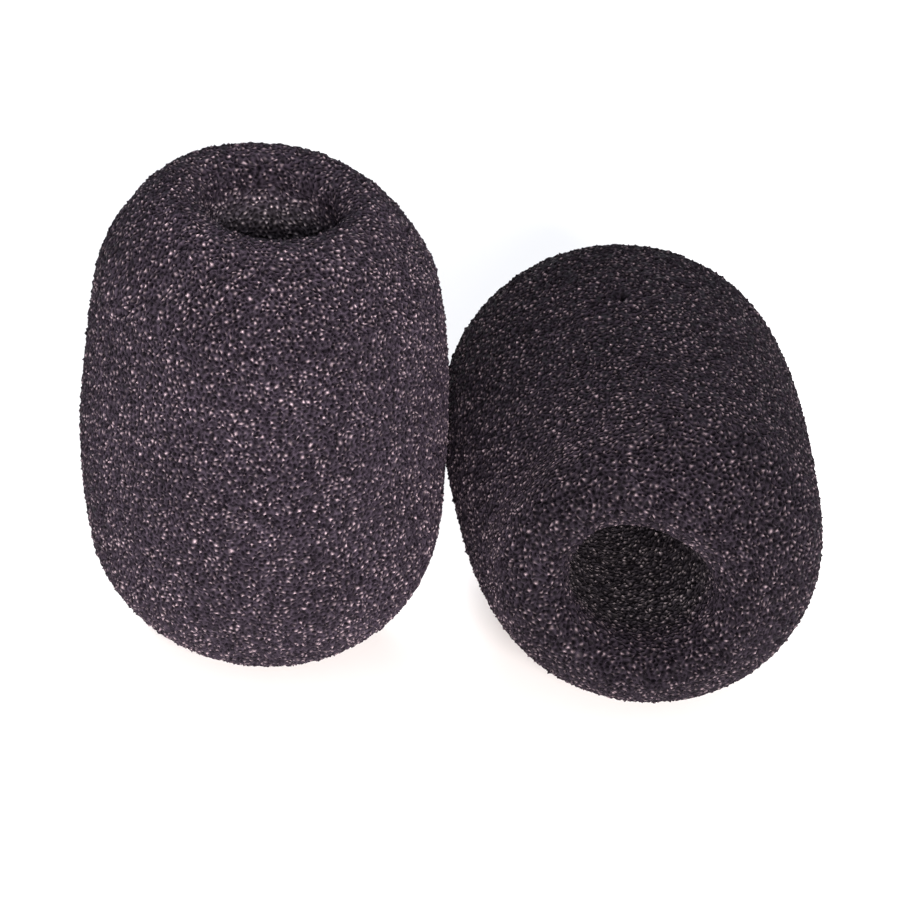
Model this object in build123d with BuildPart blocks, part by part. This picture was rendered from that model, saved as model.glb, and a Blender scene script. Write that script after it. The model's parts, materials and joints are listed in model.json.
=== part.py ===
from build123d import *
import os
from math import asin, atan2, cos, degrees, radians, sin, sqrt

# A pair of foam windscreens for headset microphones, one standing and one lying.
#
# Each cover is one block of open-cell foam ground to a rounded barrel, with a blind bore
# that stretches over the microphone's capsule. The standing cover rests on its closed end,
# mouth up. The lying cover rests on its side next to it, mouth to the front.
#
# Millimetres. Z is up, and 0 on the surface that both rest on. X runs through both covers,
# and the origin is under the middle of the pair.

os.makedirs("parts", exist_ok=True)

# One cover
cover_diameter = 22.0
barrel_radius = 54.5  # long arc of the side
shoulder_radius = 8.95  # arc that carries the side round into each end
shoulder_height = 7.0  # shoulder arcs' centres, either way from the widest section
foot_radius = 4.0  # flat on the closed end, on which a cover can stand

# Its bore
bore_diameter = 8.0
bore_depth = 20.0  # from the crest of the lip to the end of the dome
lip_radius = 1.8  # roll of the foam into the bore
standing_bore_shift = 0.45  # off the cover's axis, to the right
lying_bore_shift = -1.4  # off the cover's axis, to the left

# The pair
pair_spacing = 22.15  # between the two covers' middles, which leaves them just clear
lying_forward = 0.2  # the lying cover's middle is this much nearer the front
lying_turn = 7.5  # the lying cover's mouth turns to the right, in degrees

# The cover's outline, from its widest section
cover_radius = cover_diameter / 2
bore_radius = bore_diameter / 2
barrel_centre = cover_radius - barrel_radius
shoulder_reach = sqrt((barrel_radius - shoulder_radius) ** 2 - shoulder_height**2)
shoulder_centre = barrel_centre + shoulder_reach
foot_height = -shoulder_height - sqrt(shoulder_radius**2 - (foot_radius - shoulder_centre) ** 2)
crown_height = shoulder_height + shoulder_radius
barrel_half_turn = degrees(atan2(shoulder_height, shoulder_reach))
foot_turn = degrees(asin((foot_radius - shoulder_centre) / shoulder_radius))

# The lip's circle touches the bore's wall and the shoulder's arc from inside both
lip_centre = bore_radius + lip_radius
lip_drop = lip_centre - shoulder_centre
lip_height = shoulder_height + sqrt((shoulder_radius - lip_radius) ** 2 - lip_drop**2)
crest_height = lip_height + lip_radius
dome_height = crest_height - bore_depth + bore_radius

# The lying cover's lip stands furthest out on the side that its bore is shifted from
high_lip_reach = lip_centre + lying_bore_shift
high_lip_drop = high_lip_reach - shoulder_centre
high_lip_height = shoulder_height + sqrt((shoulder_radius - lip_radius) ** 2 - high_lip_drop**2)

# Where the covers stand, so that the pair's footprint is centred on the origin
turn = radians(lying_turn)
lying_half_width = barrel_radius + barrel_centre * cos(turn)
back_reach = -foot_height * cos(turn) + foot_radius * sin(turn)
front_reach = high_lip_height * cos(turn) - high_lip_reach * sin(turn) + lip_radius
standing_x = (cover_radius - lying_half_width - pair_spacing) / 2
lying_y = (front_reach - back_reach) / 2
standing_middle = Vector(standing_x, lying_y + lying_forward, -foot_height)
lying_middle = Vector(standing_x + pair_spacing, lying_y, cover_radius)

# The plane through each cover's axis: local X is across it, local Y is out of its mouth
standing_plane = Plane(origin=standing_middle, x_dir=(1, 0, 0), z_dir=(0, -1, 0))
lying_plane = Plane(origin=lying_middle, x_dir=(cos(turn), sin(turn), 0), z_dir=(0, 0, -1))

# Half of the cover's closed outline: foot, shoulder, barrel, shoulder and crown
with BuildSketch() as cover_section:
    with BuildLine():
        Line((0, foot_height), (foot_radius, foot_height))
        CenterArc(
            (shoulder_centre, -shoulder_height),
            shoulder_radius,
            foot_turn - 90,
            90 - foot_turn - barrel_half_turn,
        )
        CenterArc((barrel_centre, 0), barrel_radius, -barrel_half_turn, 2 * barrel_half_turn)
        CenterArc(
            (shoulder_centre, shoulder_height),
            shoulder_radius,
            barrel_half_turn,
            90 - barrel_half_turn,
        )
        Polyline((shoulder_centre, crown_height), (0, crown_height), (0, foot_height))
    make_face()

# Half of the bore: its wall, open past the crown, and the dome that it ends in
with BuildSketch() as bore_section:
    with BuildLine():
        Polyline(
            (0, dome_height - bore_radius),
            (0, crown_height + lip_radius),
            (bore_radius, crown_height + lip_radius),
            (bore_radius, dome_height),
        )
        CenterArc((0, dome_height), bore_radius, 0, -90)
    make_face()


def mouth_axis(plane, shift=0.0):
    """The line out of a cover's mouth, through the cover's middle or beside it."""
    return Axis(origin=plane.from_local_coords((shift, 0, 0)), direction=plane.y_dir)


with BuildPart() as standing_cover:
    with BuildSketch(standing_plane):
        add(cover_section.sketch)
    revolve(axis=mouth_axis(standing_plane))
    with BuildSketch(standing_plane):
        with Locations((standing_bore_shift, 0)):
            add(bore_section.sketch)
    revolve(axis=mouth_axis(standing_plane, standing_bore_shift), mode=Mode.SUBTRACT)
    fillet(standing_cover.edges().sort_by(mouth_axis(standing_plane))[-1], lip_radius)
standing_cover.part.label = "standing_cover"
export_step(standing_cover.part, "parts/standing_cover.step")

with BuildPart() as lying_cover:
    with BuildSketch(lying_plane):
        add(cover_section.sketch)
    revolve(axis=mouth_axis(lying_plane))
    with BuildSketch(lying_plane):
        with Locations((lying_bore_shift, 0)):
            add(bore_section.sketch)
    revolve(axis=mouth_axis(lying_plane, lying_bore_shift), mode=Mode.SUBTRACT)
    fillet(lying_cover.edges().sort_by(mouth_axis(lying_plane))[-1], lip_radius)
lying_cover.part.label = "lying_cover"
export_step(lying_cover.part, "parts/lying_cover.step")

print(f"cover {cover_diameter:.2f} x {crest_height - foot_height:.2f} mm")
print(f"standing cover's middle {standing_middle}")
print(f"lying cover's middle {lying_middle}")
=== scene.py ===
"""Looks for a pair of open-cell foam windscreens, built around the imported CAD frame."""

import json
import math

import bpy
import numpy as np
from mathutils import Matrix, Vector
from mathutils.geometry import delaunay_2d_cdt


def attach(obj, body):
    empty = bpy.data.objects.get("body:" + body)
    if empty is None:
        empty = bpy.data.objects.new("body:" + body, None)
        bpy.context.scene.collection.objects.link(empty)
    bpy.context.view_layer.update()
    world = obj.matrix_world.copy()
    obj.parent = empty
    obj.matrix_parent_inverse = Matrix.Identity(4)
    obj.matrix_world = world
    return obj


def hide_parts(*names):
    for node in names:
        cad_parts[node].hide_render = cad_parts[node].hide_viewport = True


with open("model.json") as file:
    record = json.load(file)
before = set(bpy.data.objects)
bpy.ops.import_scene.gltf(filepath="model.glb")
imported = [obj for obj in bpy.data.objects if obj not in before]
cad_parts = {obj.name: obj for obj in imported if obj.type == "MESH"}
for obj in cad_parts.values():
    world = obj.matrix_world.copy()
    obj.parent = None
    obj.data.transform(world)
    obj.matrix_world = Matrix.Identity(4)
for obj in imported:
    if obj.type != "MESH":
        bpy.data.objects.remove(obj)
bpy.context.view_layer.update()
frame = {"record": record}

mounts = {mount["name"]: mount for mount in frame["record"]["mounts"]}

MM = 0.001
FULL_TURN = 2 * math.pi
UP = Vector((0, 0, 1))

# One cover, as the CAD model has it, in metres; heights are from the cover's middle
COVER_RADIUS = 11.0 * MM
BARREL_RADIUS = 54.5 * MM
SHOULDER_RADIUS = 8.95 * MM
SHOULDER_HEIGHT = 7.0 * MM
FOOT_RADIUS = 4.0 * MM
BORE_RADIUS = 4.0 * MM
BORE_DEPTH = 20.0 * MM
LIP_RADIUS = 1.8 * MM
OUTLINE_STEP = 0.02 * MM
MOUTH_REACH = 6.0 * MM

# Its foam
CELL = 0.325 * MM
ROW_HEIGHT = CELL * math.sqrt(3) / 2
FEWEST_CELLS = 5
CELL_JITTER = 0.46
SEAM_CELLS = 6
SEAM_SPARE = 0.2
SMALLEST = 1e-6
SAME_PLACE = 1e-9
PORE_DEPTH = 0.18 * MM
PORE_SPREAD = (0.3, 1.6)
STRUT_JITTER = 0.050 * MM
STRUT_SINK = 0.03 * MM
KNOB_HEIGHT = 0.012 * MM
APART_ROUNDS = 6
PAINTED_GLINT_RARITY = 0.95
BORE_FADE = 2.0 * MM

# How each cover departs from its true shape, in millimetres and degrees:
# across: height from its middle, how far it sways and how much it swells to each side
# slope: how much its mouth's end rises for each millimetre across
# mouth: azimuth, and how far the mouth's edge is out of round there
# nicks: place along the section from the foot's centre, azimuth, radius and depth
SLOPE_START = 2.0 * MM
SLOPE_END = 11.0 * MM
STANDING_CUT = {
    "across": [
        (-15.6, 0.30, 0.00),
        (-13.6, 0.15, 0.04),
        (-10.0, -0.03, 0.12),
        (-7.0, -0.03, 0.16),
        (-4.0, -0.10, 0.10),
        (0.0, -0.03, 0.03),
        (3.0, 0.10, 0.00),
        (6.0, 0.18, 0.00),
        (9.4, 0.15, -0.05),
        (12.0, 0.08, -0.32),
        (13.4, -0.04, -0.28),
        (15.0, -0.18, -0.15),
    ],
    "slope": -0.045,
    "mouth": [(0, 0.10), (60, -0.10), (120, 0.10), (200, -0.12), (260, 0.05), (320, -0.05)],
    "nicks": [],
}
LYING_CUT = {
    "across": [
        (-15.0, 0.00, 0.10),
        (-12.0, -0.06, 0.20),
        (-8.0, -0.03, 0.14),
        (-4.0, -0.05, -0.05),
        (0.0, -0.10, -0.20),
        (4.0, -0.20, -0.15),
        (8.0, -0.18, -0.05),
        (11.0, -0.08, 0.04),
        (13.0, 0.06, 0.02),
        (15.0, 0.22, -0.04),
    ],
    "slope": 0.05,
    "mouth": [
        (0, 0.15),
        (30, -0.05),
        (55, -0.25),
        (80, -0.10),
        (115, 0.16),
        (150, 0.06),
        (180, 0.00),
        (230, 0.10),
        (290, -0.10),
        (340, 0.10),
    ],
    "nicks": [(20.12, 92.25, 0.42, 1.0)],
}

# Colours of the foam: the struts' own colour, a painted highlight as a glint on some nodes, and painted shade
# in the pores; how strongly each cover shows them outside, where the lying cover's darker copy is painted
# shade, and inside its bore, where painted light brightens them
STRUT_COLOUR = (0.0184, 0.0144, 0.0206)
PAINTED_GLINT_COLOUR = (0.312, 0.245, 0.272)
PORE_PAINTED_SHADE = (0.0042, 0.0031, 0.0048)
SHEEN_COLOUR = (0.55, 0.50, 0.90, 1.0)
STANDING_SHADE = 0.98
STANDING_BORE_PAINTED_LIGHT = 4.2
LYING_PAINTED_SHADE = 0.59
LYING_BORE_PAINTED_LIGHT = 1.0
BORE_SATURATION = 0.6
GRAIN_SIZE = 0.28 * MM
PATCH_SIZE = 4.0 * MM

# The studio
FLOOR_COLOUR = (0.97, 0.97, 0.97, 1.0)
FLOOR_REACH = 2.0
SURROUNDINGS_COLOUR = (0.96, 0.965, 1.0, 1.0)
SURROUNDINGS_STRENGTH = 0.55
LAMP_TARGET = Vector((0, 0, 12 * MM))
VIEW_TARGET = Vector((11.11, 21.19, 0)) * MM
VIEW_WIDTH = 55.4187 * MM
VIEW_DISTANCE = 1.0
VIEW_ELEVATION = 30.4


# ---- the smooth shape of a cover ----

barrel_centre = COVER_RADIUS - BARREL_RADIUS
barrel_reach = math.sqrt((BARREL_RADIUS - SHOULDER_RADIUS) ** 2 - SHOULDER_HEIGHT**2)
shoulder_centre = barrel_centre + barrel_reach
foot_height = -SHOULDER_HEIGHT - math.sqrt(SHOULDER_RADIUS**2 - (FOOT_RADIUS - shoulder_centre) ** 2)
lip_centre = BORE_RADIUS + LIP_RADIUS


def lip_height(radius):
    """Height of the lip's centre, at a distance from the cover's axis, where the lip touches the shoulder."""
    return SHOULDER_HEIGHT + np.sqrt((SHOULDER_RADIUS - LIP_RADIUS) ** 2 - (radius - shoulder_centre) ** 2)


def shoulder_height(radius):
    """Height of the upper shoulder, at a distance from the cover's axis."""
    return SHOULDER_HEIGHT + np.sqrt(SHOULDER_RADIUS**2 - (radius - shoulder_centre) ** 2)


dome_height = float(lip_height(lip_centre)) + LIP_RADIUS - BORE_DEPTH + BORE_RADIUS


def arc(centre, radius, start, end):
    """Points of an arc in the (radius, height) plane, from one angle to another."""
    count = max(3, int(abs(end - start) * radius / OUTLINE_STEP))
    turn = np.linspace(start, end, count)
    return np.stack([centre[0] + radius * np.cos(turn), centre[1] + radius * np.sin(turn)], 1)


def run(start, end):
    """Points of a straight run in the (radius, height) plane."""
    return np.linspace(start, end, max(3, int(math.dist(start, end) / OUTLINE_STEP)))


def cover_section():
    """The half section, from the foot's centre over the mouth's lip to the bore's end."""
    top = float(lip_height(lip_centre))
    foot_turn = math.atan2(foot_height + SHOULDER_HEIGHT, FOOT_RADIUS - shoulder_centre)
    side_turn = math.atan2(SHOULDER_HEIGHT, barrel_reach)
    lip_turn = math.atan2(top - SHOULDER_HEIGHT, lip_centre - shoulder_centre)
    pieces = [
        run((0, foot_height), (FOOT_RADIUS, foot_height)),
        arc((shoulder_centre, -SHOULDER_HEIGHT), SHOULDER_RADIUS, foot_turn, -side_turn),
        arc((barrel_centre, 0), BARREL_RADIUS, -side_turn, side_turn),
        arc((shoulder_centre, SHOULDER_HEIGHT), SHOULDER_RADIUS, side_turn, lip_turn),
        arc((lip_centre, top), LIP_RADIUS, lip_turn, math.pi),
        run((BORE_RADIUS, top), (BORE_RADIUS, dome_height)),
        arc((0, dome_height), BORE_RADIUS, 0, -math.pi / 2),
    ]
    outline = np.concatenate(pieces)
    along = np.concatenate([[0], np.cumsum(np.hypot(*np.diff(outline, axis=0).T))])
    ends = along[np.cumsum([len(piece) for piece in pieces]) - 1]
    return {
        "along": along,
        "radius": outline[:, 0],
        "height": outline[:, 1],
        "lip": ends[3],
        "bore": ends[4],
        "dome": ends[5],
    }


def out_of_round(azimuths, mouth):
    """How far the mouth's edge is from a true circle, at each azimuth."""
    degrees, offsets = np.array(mouth).T
    return np.interp(azimuths, np.radians(degrees), offsets * MM, period=FULL_TURN)[:, None]


def lip_balls(ring, shift, wobble):
    """Centres of a ball rolled round between the bore and the shoulder, and unit vectors to the shoulder."""
    centre = ring * (lip_centre + wobble) + (shift, 0, 0)
    from_axis = np.hypot(centre[:, 0], centre[:, 1])
    centre[:, 2] = lip_height(from_axis)
    outwards = centre * ((from_axis - shoulder_centre) / from_axis)[:, None]
    outwards[:, 2] = centre[:, 2] - SHOULDER_HEIGHT
    return centre, outwards / (SHOULDER_RADIUS - LIP_RADIUS)


def turned(start, end, share):
    """Unit vectors that turn evenly from start to end."""
    angle = np.arccos(np.clip((start * end).sum(1), -1, 1))[:, None]
    share = share[:, None]
    return (np.sin((1 - share) * angle) * start + np.sin(share * angle) * end) / np.sin(angle)


def shape_lip(points, section, places, ring, centre, outwards):
    """Puts the lip's points on the rolled ball, between the shoulder and the bore."""
    start, end = section["lip"], section["bore"]
    lip = (places > start) & (places <= end)
    share = (places[lip] - start) / (end - start)
    points[lip] = centre[lip] + LIP_RADIUS * turned(outwards[lip], -ring[lip], share)


def shape_shoulder(points, section, places, ring, centre, outwards):
    """Lets the shoulder follow the lip's edge, while it stays on its own surface."""
    start = section["lip"]
    true_edge = ring * np.interp(start, section["along"], section["radius"])
    moved = centre + LIP_RADIUS * outwards - true_edge
    fade = np.clip((places - start + MOUTH_REACH) / MOUTH_REACH, 0, 1)
    fade = fade * fade * (3 - 2 * fade)
    near = (fade > 0) & (places <= start)
    points[near, :2] += fade[near, None] * moved[near, :2]
    points[near, 2] = shoulder_height(np.hypot(points[near, 0], points[near, 1]))


def shape_bore(points, section, places, ring, centre, shift, wobble):
    """Moves the bore to its own axis, and makes its wall meet the lip."""
    start, end = section["bore"], section["dome"]
    inside = places > start
    points[inside, 0] += shift
    wall = inside & (places <= end)
    deep = (places[wall] - start) / (end - start)
    points[wall] += (1 - deep)[:, None] * ring[wall] * wobble[wall]
    points[wall, 2] = centre[wall, 2] + deep * (dome_height - centre[wall, 2])


def smooth_skin(section, places, azimuths, shift, mouth):
    """Points of the skin, with the bore's axis moved along X by shift and its mouth a little out of round."""
    ring = np.stack([np.cos(azimuths), np.sin(azimuths), np.zeros_like(azimuths)], 1)
    points = ring * np.interp(places, section["along"], section["radius"])[:, None]
    points[:, 2] = np.interp(places, section["along"], section["height"])
    wobble = out_of_round(azimuths, mouth)
    centre, outwards = lip_balls(ring, shift, wobble)
    shape_lip(points, section, places, ring, centre, outwards)
    shape_shoulder(points, section, places, ring, centre, outwards)
    shape_bore(points, section, places, ring, centre, shift, wobble)
    return points


def uneven(points, cut):
    """Moves the skin off its true shape, as foam is cut: across at each height, and aslant at the mouth."""
    heights, sway, swell = np.array(cut["across"]).T * MM
    slope = np.interp(points[:, 2], (SLOPE_START, SLOPE_END), (0, cut["slope"]))
    moved = points.copy()
    moved[:, 0] *= 1 + np.interp(points[:, 2], heights, swell) / COVER_RADIUS
    moved[:, 0] += np.interp(points[:, 2], heights, sway)
    moved[:, 2] += slope * points[:, 0]
    return moved


# ---- foam cells on that shape ----

def seeds(rng, section):
    """A point in the middle of each cell: its place along the section and its azimuth, in jittered rows."""
    total = section["along"][-1]
    rows = int(total / ROW_HEIGHT)
    height = total / rows
    places, azimuths, counts = [], [], []
    for row in range(rows):
        place = (row + 0.5) * height
        radius = np.interp(place, section["along"], section["radius"])
        count = max(FEWEST_CELLS, round(FULL_TURN * radius / CELL))
        shake = 0.0 if row in (0, rows - 1) else CELL_JITTER
        turn = np.arange(count) + rng.random() + shake * rng.uniform(-1, 1, count)
        azimuths.append(turn / count * FULL_TURN % FULL_TURN)
        places.append(place + shake * height * rng.uniform(-1, 1, count))
        counts.append(count)
    return np.concatenate(places), np.concatenate(azimuths), np.repeat(counts, counts)


def unrolled(section, places):
    """Distance along the section, stretched so that a map of it against azimuth keeps every angle true."""
    radius = np.maximum(section["radius"], SMALLEST)
    steps = np.diff(section["along"]) * 2 / (radius[1:] + radius[:-1])
    return np.interp(places, section["along"], np.concatenate([[0], np.cumsum(steps)]))


def cap(ring, azimuths, pole, step):
    """Triangles that close a ring of seeds at a pole."""
    ring = ring[np.argsort(azimuths[ring])]
    return np.stack([np.full(len(ring), pole), ring, np.roll(ring, step)], 1)


def joined(section, places, azimuths, counts):
    """Triangles between neighbouring seeds, and two caps; the poles come after the last seed."""
    ids = np.arange(len(places))
    margin = np.minimum(SEAM_CELLS * FULL_TURN / counts + SEAM_SPARE, FULL_TURN)
    first, last = azimuths < margin, azimuths > FULL_TURN - margin
    all_ids = np.concatenate([ids, ids[first], ids[last]])
    turns = np.concatenate([azimuths, azimuths[first] + FULL_TURN, azimuths[last] - FULL_TURN])
    flat = [Vector(pair) for pair in zip(unrolled(section, places)[all_ids], turns)]
    found = np.array(delaunay_2d_cdt(flat, [], [], 0, SAME_PLACE, False)[2])
    middle = turns[found].mean(1)
    sides = all_ids[found[(middle >= 0) & (middle < FULL_TURN)]]
    foot = cap(ids[: counts[0]], azimuths, len(ids), -1)
    dome = cap(ids[-counts[-1] :], azimuths, len(ids) + 1, 1)
    return np.concatenate([sides, foot, dome])[:, ::-1]


def nicked(section, places, azimuths, nicks):
    """How far each seed is pushed in by the nicks: small round places where foam has come away."""
    pushed = np.zeros(len(places))
    for place, azimuth, radius, depth in nicks:
        turn = (azimuths - math.radians(azimuth) + math.pi) % FULL_TURN - math.pi
        apart_round = turn * np.interp(places, section["along"], section["radius"])
        near = 1 - np.hypot(places - place * MM, apart_round) / (radius * MM)
        pushed += depth * MM * np.sqrt(np.clip(near, 0, 1))
    return pushed


def normals_at(points, faces):
    """Unit normals of a triangle mesh at its points."""
    a, b, c = (points[faces[:, k]] for k in range(3))
    across = np.cross(b - a, c - a)
    normals = np.zeros_like(points)
    for k in range(3):
        np.add.at(normals, faces[:, k], across)
    return normals / np.linalg.norm(normals, axis=1)[:, None]


def nodes_beside(faces, seed_count):
    """For each triangle's strut node, the node beyond each of its three edges."""
    edges = np.concatenate([faces[:, [0, 1]], faces[:, [1, 2]], faces[:, [2, 0]]]).astype(np.int64)
    code = edges[:, 0] * seed_count + edges[:, 1]
    order = np.argsort(code)
    owner = np.tile(np.arange(len(faces)), 3)[order]
    wanted = faces.astype(np.int64) * seed_count + np.roll(faces, 1, axis=1)
    return owner[np.searchsorted(code[order], wanted)]


def apart(rng, beside):
    """Picks nodes at random so that no two picked ones share a strut, until hardly any more fit."""
    rank = rng.random(len(beside))
    picked = np.zeros(len(beside), bool)
    free = np.ones(len(beside), bool)
    for _ in range(APART_ROUNDS):
        rivals = np.where(free[beside], rank[beside], 0).max(1)
        best = free & (rank > rivals)
        picked |= best
        free &= ~(best | best[beside].any(1))
    return picked


def strut_nodes(rng, points, normals, faces, raised):
    """A node over each triangle of seeds, a little above or below the skin."""
    lift = np.where(raised, KNOB_HEIGHT, -KNOB_HEIGHT)
    lift += rng.normal(-STRUT_SINK, STRUT_JITTER, len(faces))
    return points[faces].mean(1) + normals[faces].mean(1) * lift[:, None]


def pore_centres(rng, points, normals):
    """The deepest point of each cell's pore."""
    depth = PORE_DEPTH * rng.uniform(*PORE_SPREAD, len(points))
    return points - normals * depth[:, None]


def pore_walls(faces, beside):
    """One triangle between the centre of each pore and each strut around it."""
    ids = np.arange(len(faces))
    walls = [np.stack([faces[:, k] + len(faces), ids, beside[:, k]], 1) for k in range(3)]
    return np.concatenate(walls)


def placed(vertices, place):
    """Vertices in the frame, none of them below the floor."""
    vertices = vertices @ np.array(place.to_3x3()).T + np.array(place.translation)
    vertices[:, 2] = np.maximum(vertices[:, 2], 0)
    return vertices


def point_values(mesh, name, of_nodes, of_pores):
    """Keeps a number at every vertex for the material to read."""
    values = np.concatenate([of_nodes, of_pores]).astype(np.float32)
    mesh.attributes.new(name, "FLOAT", "POINT").data.foreach_set("value", values)


def foam_mesh(name, seed, shift, place, cut):
    """A closed skin of foam cells: struts where cells meet, and a pore inside each."""
    rng = np.random.default_rng(seed)
    section = cover_section()
    places, azimuths, counts = seeds(rng, section)
    faces = joined(section, places, azimuths, counts)
    places = np.concatenate([places, [0, section["along"][-1]]])
    azimuths = np.concatenate([azimuths, [0, 0]])
    points = uneven(smooth_skin(section, places, azimuths, shift, cut["mouth"]), cut)
    normals = normals_at(points, faces)
    pushed = nicked(section, places, azimuths, cut["nicks"])
    points -= normals * pushed[:, None]

    beside = nodes_beside(faces, len(points))
    raised = apart(rng, beside)
    nodes = strut_nodes(rng, points, normals, faces, raised)
    pores = pore_centres(rng, points, normals)
    vertices = placed(np.concatenate([nodes, pores]), place)
    mesh = bpy.data.meshes.new(name)
    mesh.from_pydata(vertices.tolist(), [], pore_walls(faces, beside).tolist())

    # Painted highlight: some raised nodes get a painted glint in the base colour, and a lower roughness
    glossy_painted_glint_nodes = raised & (pushed[faces].max(1) == 0)
    glints = np.where(glossy_painted_glint_nodes, rng.random(len(nodes)) ** PAINTED_GLINT_RARITY, 0)
    depths = (places - section["bore"]) / BORE_FADE
    point_values(mesh, "pore", np.zeros(len(nodes)), np.ones(len(pores)))
    point_values(mesh, "glint", glints, np.zeros(len(pores)))
    point_values(mesh, "inside", np.clip(depths[faces].mean(1), 0, 1), np.clip(depths, 0, 1))
    return mesh


def cover(which, across, seed, cut, material):
    """One windscreen in its place, riding on its CAD body."""
    foot, bore = mounts[which + "_foot"], mounts[which + "_bore"]
    axis = Vector(bore["axis"]).normalized()
    middle = Vector(foot["pos_m"]) - axis * foot_height
    shift = (Vector(bore["pos_m"]) - middle).dot(across)
    basis = Matrix((across, axis.cross(across), axis)).transposed()
    place = Matrix.Translation(middle) @ basis.to_4x4()
    mesh = foam_mesh(which + "_foam", seed, shift, place, cut)
    mesh.materials.append(material)
    piece = bpy.data.objects.new(mesh.name, mesh)
    bpy.context.scene.collection.objects.link(piece)
    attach(piece, which + "_cover")
    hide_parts(which + "_cover")


# ---- materials ----

def tinted(colour, shade):
    """A colour made darker or lighter, with its alpha."""
    return [shade * part for part in colour] + [1.0]


def attribute(nodes, name):
    """The value that the foam's vertices keep under a name."""
    node = nodes.new("ShaderNodeAttribute")
    node.attribute_name = name
    return node.outputs["Fac"]


def noise(nodes, links, size, detail):
    """Cloudy noise with blotches of about a size in metres, from 0 to 1."""
    place = nodes.new("ShaderNodeTexCoord")
    node = nodes.new("ShaderNodeTexNoise")
    node.inputs["Scale"].default_value = 1 / size
    node.inputs["Detail"].default_value = detail
    links.new(place.outputs["Object"], node.inputs["Vector"])
    return node.outputs["Fac"]


def remapped(nodes, links, value, before, after):
    """A value stretched from one range to another, and held inside it."""
    node = nodes.new("ShaderNodeMapRange")
    links.new(value, node.inputs["Value"])
    node.inputs["From Min"].default_value = before[0]
    node.inputs["From Max"].default_value = before[1]
    node.inputs["To Min"].default_value = after[0]
    node.inputs["To Max"].default_value = after[1]
    return node.outputs["Result"]


def product(nodes, links, first, second):
    """Two values multiplied."""
    node = nodes.new("ShaderNodeMath")
    node.operation = "MULTIPLY"
    links.new(first, node.inputs[0])
    links.new(second, node.inputs[1])
    return node.outputs["Value"]


def mixed(nodes, links, factor, first, second):
    """A colour between two others; each is a plain colour or a socket."""
    node = nodes.new("ShaderNodeMix")
    node.data_type = "RGBA"
    links.new(factor, node.inputs["Factor"])
    for socket, colour in ((node.inputs[6], first), (node.inputs[7], second)):
        if isinstance(colour, bpy.types.NodeSocket):
            links.new(colour, socket)
        else:
            socket.default_value = colour
    return node.outputs[2]


def toned(nodes, links, colour, saturation, strength):
    """A colour with its saturation and brightness multiplied by values."""
    node = nodes.new("ShaderNodeHueSaturation")
    links.new(colour, node.inputs["Color"])
    links.new(saturation, node.inputs["Saturation"])
    links.new(strength, node.inputs["Value"])
    return node.outputs["Color"]


def foam_colour(nodes, links, glint, shade):
    """Purple-grey struts, a pinkish painted highlight (glint) on some of their nodes, and pores painted
    near-black as painted shade.
    """
    # Painted highlight: the glint value, squared, mixes the struts' colour towards the painted glint colour
    painted_glint_share = remapped(nodes, links, product(nodes, links, glint, glint), (0.03, 1.0), (0.0, 1.0))
    strut = mixed(nodes, links, painted_glint_share, tinted(STRUT_COLOUR, shade), tinted(PAINTED_GLINT_COLOUR, shade))
    # Painted shade: towards each pore's centre the colour goes near-black, for the shade in its recess
    deep = remapped(nodes, links, attribute(nodes, "pore"), (0.1, 0.8), (0.0, 1.0))
    return mixed(nodes, links, deep, strut, tinted(PORE_PAINTED_SHADE, shade))


def foam_unevenness(nodes, links):
    """A brightness that varies from strut to strut, and softly over wider patches."""
    grain = remapped(nodes, links, noise(nodes, links, GRAIN_SIZE, 1.0), (0.3, 0.7), (0.35, 1.65))
    patches = remapped(nodes, links, noise(nodes, links, PATCH_SIZE, 2.0), (0.3, 0.7), (0.88, 1.12))
    return product(nodes, links, grain, patches)


def foam_material(name, shade, bore_painted_light):
    """Open-cell charcoal foam, more neutral inside the bore, where painted light brightens its colour for the
    light that comes through the foam.
    """
    material = bpy.data.materials.new(name)
    material.use_nodes = True
    nodes, links = material.node_tree.nodes, material.node_tree.links
    shader = nodes["Principled BSDF"]
    glint = attribute(nodes, "glint")
    inside = attribute(nodes, "inside")
    # Painted light: inside the bore the colour is multiplied up, for light that comes through the foam
    painted_bore_light = remapped(nodes, links, inside, (0.0, 1.0), (1.0, bore_painted_light))
    strength = product(nodes, links, foam_unevenness(nodes, links), painted_bore_light)
    saturation = remapped(nodes, links, inside, (0.0, 1.0), (1.0, BORE_SATURATION))
    colour = toned(nodes, links, foam_colour(nodes, links, glint, shade), saturation, strength)
    roughness = remapped(nodes, links, glint, (0.0, 1.0), (0.62, 0.40))
    links.new(colour, shader.inputs["Base Color"])
    links.new(roughness, shader.inputs["Roughness"])
    shader.inputs["Specular IOR Level"].default_value = 0.03
    shader.inputs["Sheen Weight"].default_value = 0.01 * shade
    shader.inputs["Sheen Roughness"].default_value = 0.4
    shader.inputs["Sheen Tint"].default_value = SHEEN_COLOUR
    return material


def floor_material():
    """Plain pale floor."""
    material = bpy.data.materials.new("floor")
    material.use_nodes = True
    shader = material.node_tree.nodes["Principled BSDF"]
    shader.inputs["Base Color"].default_value = FLOOR_COLOUR
    shader.inputs["Roughness"].default_value = 0.9
    return material


# ---- studio ----

def floor():
    """A wide flat floor at height zero."""
    ways = [(-1, -1), (1, -1), (1, 1), (-1, 1)]
    corners = [(x * FLOOR_REACH, y * FLOOR_REACH, 0) for x, y in ways]
    mesh = bpy.data.meshes.new("floor")
    mesh.from_pydata(corners, [], [(0, 1, 2, 3)])
    mesh.materials.append(floor_material())
    piece = bpy.data.objects.new("floor", mesh)
    bpy.context.scene.collection.objects.link(piece)


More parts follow.
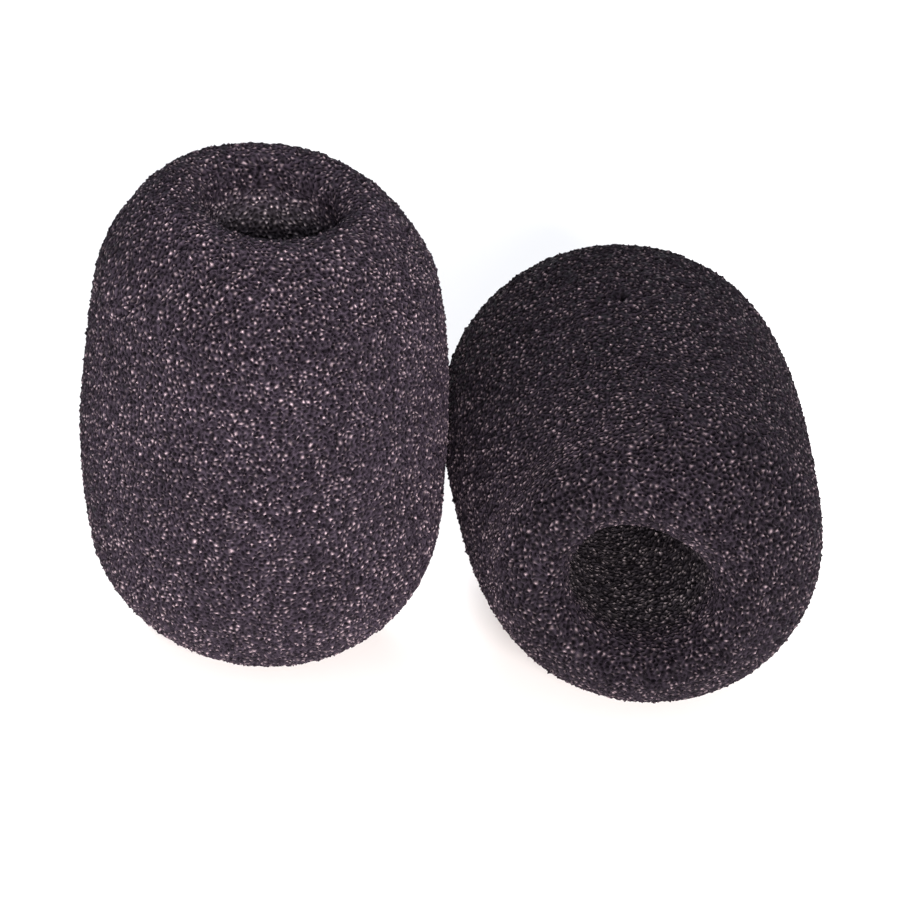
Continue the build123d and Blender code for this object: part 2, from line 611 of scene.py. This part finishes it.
def facing(azimuth, elevation):
    """Unit vector to a place around the covers, in degrees: 0 is in front, 90 on the right, 180 behind."""
    turn, rise = math.radians(azimuth), math.radians(elevation)
    return Vector((math.sin(turn) * math.cos(rise), -math.cos(turn) * math.cos(rise), math.sin(rise)))


def aimed(piece, target, direction, distance):
    """Puts a camera or lamp at a distance from its target, looking at it."""
    piece.location = target + direction * distance
    piece.rotation_euler = (-direction).to_track_quat("-Z", "Y").to_euler()
    bpy.context.scene.collection.objects.link(piece)


def soft_lamp(name, direction, distance, size, power, colour):
    """A soft round lamp that looks at the covers."""
    lamp = bpy.data.lights.new(name, "AREA")
    lamp.shape = "DISK"
    lamp.size = size
    lamp.energy = power
    lamp.color = colour
    aimed(bpy.data.objects.new(name, lamp), LAMP_TARGET, direction, distance)


def surroundings():
    """Even white surroundings."""
    world = bpy.data.worlds.new("world")
    world.use_nodes = True
    backdrop = world.node_tree.nodes["Background"]
    backdrop.inputs["Color"].default_value = SURROUNDINGS_COLOUR
    backdrop.inputs["Strength"].default_value = SURROUNDINGS_STRENGTH
    bpy.context.scene.world = world


def camera():
    """A long lens, from in front and above."""
    lens = bpy.data.cameras.new("camera")
    lens.sensor_width = 36.0
    lens.lens = lens.sensor_width * VIEW_DISTANCE / VIEW_WIDTH
    piece = bpy.data.objects.new("camera", lens)
    target = Vector(mounts["standing_foot"]["pos_m"]) + VIEW_TARGET
    aimed(piece, target, facing(0, VIEW_ELEVATION), VIEW_DISTANCE)
    bpy.context.scene.camera = piece


def studio():
    """A pale floor, white surroundings, a warm lamp in front and a weaker one behind to fill its shadow."""
    floor()
    surroundings()
    soft_lamp("front", facing(6, 15.5), 0.8, 0.40, 23.0, (1.0, 0.92, 0.89))
    soft_lamp("back", facing(180, 42), 1.0, 0.60, 7.2, (0.94, 0.96, 1.0))
    camera()
    bpy.context.scene.view_settings.view_transform = "Standard"


lying_axis = Vector(mounts["lying_bore"]["axis"]).normalized()
standing_foam = foam_material("foam", STANDING_SHADE, STANDING_BORE_PAINTED_LIGHT)
# Painted shade: the lying cover gets a darker copy of the same foam
lying_foam_painted_shade = foam_material("foam_painted_shade", LYING_PAINTED_SHADE, LYING_BORE_PAINTED_LIGHT)
cover("standing", Vector((1, 0, 0)), 1, STANDING_CUT, standing_foam)
cover("lying", UP.cross(lying_axis), 2, LYING_CUT, lying_foam_painted_shade)
studio()
